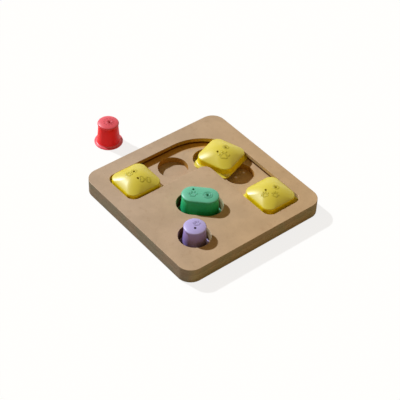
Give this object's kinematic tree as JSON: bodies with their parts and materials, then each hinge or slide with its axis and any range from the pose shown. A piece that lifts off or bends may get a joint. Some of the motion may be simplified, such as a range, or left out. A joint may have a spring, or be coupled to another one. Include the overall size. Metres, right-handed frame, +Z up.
{
  "type": "dog puzzle feeder toy",
  "caption": "Square layered board with a bent slider track over treat pits, captive pillow-shaped caps that slide along it, and flanged cups that lift out of their holes.",
  "frame": {"origin": "on the table, in the plane under the four rubber feet, below the middle of the square board", "axes": "+Z up; the track's near leg runs along Y at the board's -X side, its far leg along X at the +Y side, and the bend is at -X +Y; the cups' corner is at +X -Y"},
  "size_m": [0.4055, 0.3, 0.0555],
  "materials": {
    "fibreboard": "smooth bare fibreboard, satin",
    "fibreboard_edge": "cut fibreboard edge, matt and fibrous",
    "yellow_plastic": "moulded plastic, soft gloss",
    "purple_plastic": "moulded plastic, soft gloss",
    "green_plastic": "moulded plastic, soft gloss",
    "red_plastic": "moulded plastic, soft gloss",
    "rubber": "matt non-slip rubber"
  },
  "bodies": {
    "board": {"deck_panel": "fibreboard", "guide_panel": "fibreboard_edge", "pit_panel": "fibreboard", "base_panel": "fibreboard_edge", "foot_front_left": "rubber", "foot_front_right": "rubber", "foot_back_left": "rubber", "foot_back_right": "rubber"},
    "left_cap": {"slider_left": "yellow_plastic"},
    "middle_cap": {"slider_middle": "yellow_plastic"},
    "right_cap": {"slider_right": "yellow_plastic"},
    "purple_cup": {"cup_purple": "purple_plastic"},
    "green_cup": {"cup_green": "green_plastic"},
    "red_cup": {"cup_red": "red_plastic"}
  },
  "joints": [
    {"name": "left_cap_slide", "type": "slide", "parent": "board", "child": "left_cap", "axis": [0, 1, 0], "range_m": [-0.001, 0.0575]},
    {"name": "middle_cap_bend", "type": "hinge", "parent": "board", "child": "middle_cap", "pos_m": [-0.029, 0.029, 0], "axis": [0, 0, 1], "range_deg": [-16, 26]},
    {"name": "right_cap_slide", "type": "slide", "parent": "board", "child": "right_cap", "axis": [-1, 0, 0], "range_m": [-0.004, 0.033]},
    {"name": "purple_cup_lift", "type": "slide", "parent": "board", "child": "purple_cup", "axis": [0, 0, 1], "range_m": [0, 0.06]},
    {"name": "green_cup_lift", "type": "slide", "parent": "board", "child": "green_cup", "axis": [0, 0, 1], "range_m": [0, 0.06]},
    {"name": "red_cup_lift", "type": "slide", "parent": "board", "child": "red_cup", "axis": [0, 0, 1], "range_m": [0, 0.06]}
  ]
}
